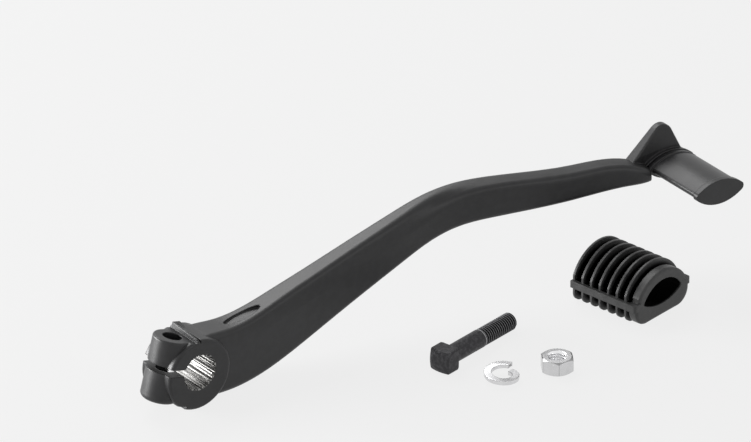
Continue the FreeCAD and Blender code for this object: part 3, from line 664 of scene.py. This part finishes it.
def satin_black(sizes):
    """Satin black paint over a forging, with the splined bore left as bare machined steel, whose dark streaks
    along the broaching marks are painted reflections.
    """
    material, tree, shader = new_material("satin_black_paint", Specular_IOR_Level=0.4)
    point = place_on(tree)
    x = point.node("ShaderNodeSeparateXYZ", None, {0: point})
    z = x.also("Z")
    from_shaft = (x * x + z * z) ** 0.5
    bore = 1 - from_shaft.step(sizes.bore_radius - 0.0001, sizes.bore_radius + 0.00005)
    mottle = noise(point, 240.0, detail=4.0)
    peel = noise(point, 1300.0, detail=2.0)
    broach = noise(stretched(point, (1000.0, 30.0, 1000.0)), 1.0, detail=3.0, roughness=0.6)
    # The broaching grain is real; the dark streaks that it gives the bare steel's colour are painted
    # reflections
    dark_reflection = broach.step(0.44, 0.60)
    paint = blend(mottle.step(0.3, 0.7), shade(sizes.paint, 0.85), shade(sizes.paint, 1.2))
    steel = blend(dark_reflection, shade(sizes.steel, 0.06), shade(sizes.steel, 0.42))
    height = peel * 0.35 + mottle * 0.65
    plug(shader, Base_Color=blend(bore, paint, steel), Metallic=bore,
         Roughness=(0.34 + mottle * 0.1) * (1 - bore) + (0.34 + broach * 0.16) * bore,
         Normal=bumped(height * (1 - bore) + broach * bore * 0.5, 0.0001, 0.5, edge=0.0007))
    return material


def blackened_steel(sizes):
    """Black oxide on forged steel: dark and mottled, with painted highlights along the thread's crests."""
    material, tree, shader = new_material("black_oxide", Metallic=1.0)
    point = place_on(tree)
    scale = noise(point, 700.0, detail=4.0, roughness=0.6)
    grain = noise(point, 2600.0, detail=2.0)
    thin = scale.step(0.40, 0.75)
    crest = painted_light_share(point)
    # Painted highlight: the thread's crests and its turned step are painted bright grey
    crest_highlight = crest.step(0.80, 1.0)
    oxide = blend(thin, shade(sizes.colour, 0.6), shade(sizes.colour, 1.05))
    threaded = blend(crest.step(0.02, 0.3), oxide, shade(sizes.colour, 0.3))
    plug(shader, Base_Color=blend(crest_highlight, threaded, (0.34, 0.34, 0.35)),
         Roughness=0.46 - thin * 0.06 + grain * 0.05 - crest_highlight * 0.1,
         Normal=bumped(scale * 0.6 + grain * 0.4, 0.00006, 0.5, edge=0.00025))
    return material


def zinc_plate(sizes):
    """Bright zinc plating with a faint grain and fine handling marks, painted dark as shade where the painted
    light share is low.
    """
    material, tree, shader = new_material("zinc_plate", Metallic=1.0)
    point = place_on(tree)
    cloud = noise(point, 420.0, detail=3.0)
    grain = noise(stretched(point, (1500.0, 1500.0, 5200.0)), 1.0, detail=3.0)
    plate = blend(cloud.step(0.3, 0.7), shade(sizes.zinc, 0.94), sizes.zinc)
    # Painted shade: where the painted light share is low, on sides, corners and edges, the plate is painted
    # dark
    plug(shader, Base_Color=blend(painted_light_share(point), shade(sizes.zinc, 0.14), plate),
         Roughness=0.22 + grain * 0.05,
         Normal=bumped(grain, 0.000004, 0.4, edge=0.0002))
    return material


def matte_rubber(sizes):
    """Moulded black rubber: soft sheen on the ribs, painted shade in the gaps and the hollow, with a fine
    mould texture.
    """
    material, tree, shader = new_material("black_rubber", Specular_IOR_Level=0.45)
    point = place_on(tree)
    bloom = noise(point, 320.0, detail=4.0)
    grain = noise(point, 2600.0, detail=3.0, roughness=0.6)
    skin = blend(bloom.step(0.35, 0.75), sizes.colour, shade(sizes.colour, 1.6))
    # Painted shade: where the painted light share is low, in the gaps and the hollow, the rubber is made
    # black metal so it stays dark under any lamp
    unshaded = painted_light_share(point).step(0.3, 0.9)
    plug(shader, Base_Color=blend(unshaded, (0.0005, 0.0005, 0.0005), skin), Metallic=1 - unshaded,
         Roughness=0.8 - unshaded * 0.42 + bloom * 0.1,
         Normal=bumped(grain * 0.7 + bloom * 0.3, 0.00008, 0.5, edge=0.0003))
    return material


# Pieces

class KICK_OT_lever(bpy.types.Operator):
    """Paints the forged lever and leaves its splines bare"""
    bl_idname = "kick.lever"
    bl_label = "Lever finish"

    def execute(self, context):
        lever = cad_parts["kick_lever"]
        lever.data.materials.clear()
        lever.data.materials.append(satin_black(context.scene.kick_lever))
        return {"FINISHED"}


class KICK_OT_pedal_rubber(bpy.types.Operator):
    """Makes the ribbed pedal rubber"""
    bl_idname = "kick.pedal_rubber"
    bl_label = "Pedal rubber"

    def execute(self, context):
        s = context.scene.kick_rubber
        rings, raised = rubber_rings(s)
        piece = surface("rubber_sleeve", laid(rings, s.place, s.turn), True, math.radians(35), raised)
        finish_piece(piece, matte_rubber(s), "pedal_rubber")
        return {"FINISHED"}


class KICK_OT_pinch_bolt(bpy.types.Operator):
    """Makes the square-headed pinch bolt with its thread"""
    bl_idname = "kick.pinch_bolt"
    bl_label = "Pinch bolt"

    def execute(self, context):
        s = context.scene.kick_bolt
        rings, raised = bolt_rings(s)
        piece = surface("bolt_body", laid(rings, s.place, s.turn, s.lean), False, math.radians(38), raised)
        finish_piece(piece, blackened_steel(s), "clamp_bolt")
        return {"FINISHED"}


class KICK_OT_spring_washer(bpy.types.Operator):
    """Makes the split spring washer"""
    bl_idname = "kick.spring_washer"
    bl_label = "Spring washer"

    def execute(self, context):
        s = context.scene.kick_washer
        rings, raised = washer_rings(s)
        piece = surface("washer_coil", laid(rings, s.place, s.turn), False, math.radians(40), raised)
        finish_piece(piece, zinc_plate(s), "spring_washer")
        return {"FINISHED"}


class KICK_OT_hex_nut(bpy.types.Operator):
    """Makes the hexagon nut with its thread"""
    bl_idname = "kick.hex_nut"
    bl_label = "Hexagon nut"

    def execute(self, context):
        s = context.scene.kick_nut
        rings, raised = nut_rings(s, context.scene.kick_bolt)
        piece = surface("nut_body", laid(rings, s.place, s.turn), True, math.radians(30), raised)
        finish_piece(piece, zinc_plate(context.scene.kick_washer), "hex_nut")
        return {"FINISHED"}


# Studio

# Half the floor's side, and the point that the lamps face
FLOOR_REACH = 6.0
LAMPS_FACE = (0.10, -0.03, 0.0)
# Each lamp's direction and distance from that point, and its width and height
LAMPS = {
    "overhead": ((0.12, 0.69, 0.71), 1.2, (0.8, 0.7)),
    "side": ((-0.72, 0.68, 0.14), 1.1, (0.8, 0.32)),
    "front": ((0.25, -0.85, 0.45), 1.4, (0.8, 0.6)),
}


def seen_share(tree):
    """1 for what is seen, straight or in a reflection or through glass, and 0 for what only gives light."""
    camera = Wire.start(tree, "ShaderNodeLightPath", "Is Camera Ray")
    with_glossy = camera.math("MAXIMUM", camera, camera.also("Is Glossy Ray"))
    return camera.math("MAXIMUM", with_glossy, camera.also("Is Transmission Ray"))


def pale_floor(brightness):
    """A pale floor that looks evenly bright to the camera and in reflections, and keeps a soft shadow."""
    shadow = 0.1
    material, tree, shader = new_material(
        "pale_floor", Base_Color=(0.7, 0.7, 0.7, 1), Roughness=0.9, Specular_IOR_Level=0.0)
    seen = seen_share(tree)
    glow = seen.node("ShaderNodeEmission", None, {"Color": (brightness, brightness, brightness, 1)})
    lit = Wire(tree, shader.outputs[0])
    mixed = seen.node("ShaderNodeMixShader", None, {0: seen * (1 - shadow), 1: lit, 2: glow})
    tree.links.new(mixed.socket, node_of(tree, "OUTPUT_MATERIAL").inputs["Surface"])
    return material


def lay_floor(s):
    """Puts a flat square floor at the bench's height."""
    mesh = bpy.data.meshes.new("floor")
    mesh.from_pydata([(x * FLOOR_REACH, y * FLOOR_REACH, s.bench)
                      for x, y in ((-1, -1), (1, -1), (1, 1), (-1, 1))], [], [(0, 1, 2, 3)])
    mesh.materials.append(pale_floor(s.backdrop))
    floor = bpy.data.objects.new("floor", mesh)
    bpy.context.scene.collection.objects.link(floor)


def hang_lamp(name, power):
    """Puts up one of the lamps, which face the same point and stay unseen by the camera."""
    direction, distance, size = LAMPS[name]
    lamp = bpy.data.lights.new(name, "AREA")
    lamp.shape, lamp.size, lamp.size_y = "RECTANGLE", size[0], size[1]
    lamp.energy = power
    holder = bpy.data.objects.new(name, lamp)
    way = Vector(direction).normalized()
    holder.location = Vector(LAMPS_FACE) + way * distance
    holder.rotation_euler = way.to_track_quat("Z", "Y").to_euler()
    holder.visible_camera = False
    bpy.context.scene.collection.objects.link(holder)


def set_camera(s):
    """Stands the camera back from its target, with a lens that gives the frame's width there."""
    back = Vector((math.sin(s.azimuth) * math.cos(s.elevation), -math.cos(s.azimuth) * math.cos(s.elevation),
                   math.sin(s.elevation)))
    lens = bpy.data.cameras.new("camera")
    lens.sensor_width = 36.0
    lens.lens = lens.sensor_width * s.distance / s.frame_width
    lens.clip_start, lens.clip_end = 0.5, 60.0
    camera = bpy.data.objects.new("camera", lens)
    camera.location = Vector(s.target) + back * s.distance
    camera.rotation_euler = back.to_track_quat("Z", "Y").to_euler()
    bpy.context.scene.collection.objects.link(camera)
    bpy.context.scene.camera = camera


class KICK_OT_studio(bpy.types.Operator):
    """Lays the floor, hangs the lamps and sets the camera"""
    bl_idname = "kick.studio"
    bl_label = "Studio"

    def execute(self, context):
        s = context.scene.kick_studio
        lay_floor(s)
        world = bpy.data.worlds.new("studio")
        context.scene.world = world
        world.use_nodes = True
        tree = world.node_tree
        sky = blend(seen_share(tree), (s.fill,) * 3, (s.backdrop,) * 3)
        plug(node_of(tree, "BACKGROUND"), Color=sky)
        for name in LAMPS:
            hang_lamp(name, getattr(s, name))
        set_camera(s)
        context.scene.view_settings.view_transform = "Standard"
        return {"FINISHED"}


# Panel and registration

# Each operator, and the name and class of the settings that it reads
PIECES = (
    (KICK_OT_studio, "kick_studio", StudioSettings),
    (KICK_OT_lever, "kick_lever", LeverSettings),
    (KICK_OT_pedal_rubber, "kick_rubber", RubberSettings),
    (KICK_OT_pinch_bolt, "kick_bolt", BoltSettings),
    (KICK_OT_spring_washer, "kick_washer", WasherSettings),
    (KICK_OT_hex_nut, "kick_nut", NutSettings),
)


class KICK_PT_panel(bpy.types.Panel):
    """Lists the lever's pieces in the sidebar"""
    bl_idname = "KICK_PT_panel"
    bl_label = "Kick start lever"
    bl_space_type = "VIEW_3D"
    bl_region_type = "UI"
    bl_category = "Kick lever"

    def draw(self, context):
        for operator, name, _ in PIECES:
            box = self.layout.box()
            box.operator(operator.bl_idname)
            settings = getattr(context.scene, name)
            for setting in settings.bl_rna.properties.keys():
                if setting not in ("name", "rna_type"):
                    box.prop(settings, setting)


def register():
    for operator, name, settings in PIECES:
        bpy.utils.register_class(settings)
        bpy.utils.register_class(operator)
        setattr(bpy.types.Scene, name, PointerProperty(type=settings))
    bpy.utils.register_class(KICK_PT_panel)


def unregister():
    bpy.utils.unregister_class(KICK_PT_panel)
    for operator, name, settings in reversed(PIECES):
        delattr(bpy.types.Scene, name)
        bpy.utils.unregister_class(operator)
        bpy.utils.unregister_class(settings)


def main():
    register()
    bpy.ops.kick.studio()
    bpy.ops.kick.lever()
    bpy.ops.kick.pedal_rubber()
    bpy.ops.kick.pinch_bolt()
    bpy.ops.kick.spring_washer()
    bpy.ops.kick.hex_nut()


if __name__ == "__main__":
    main()
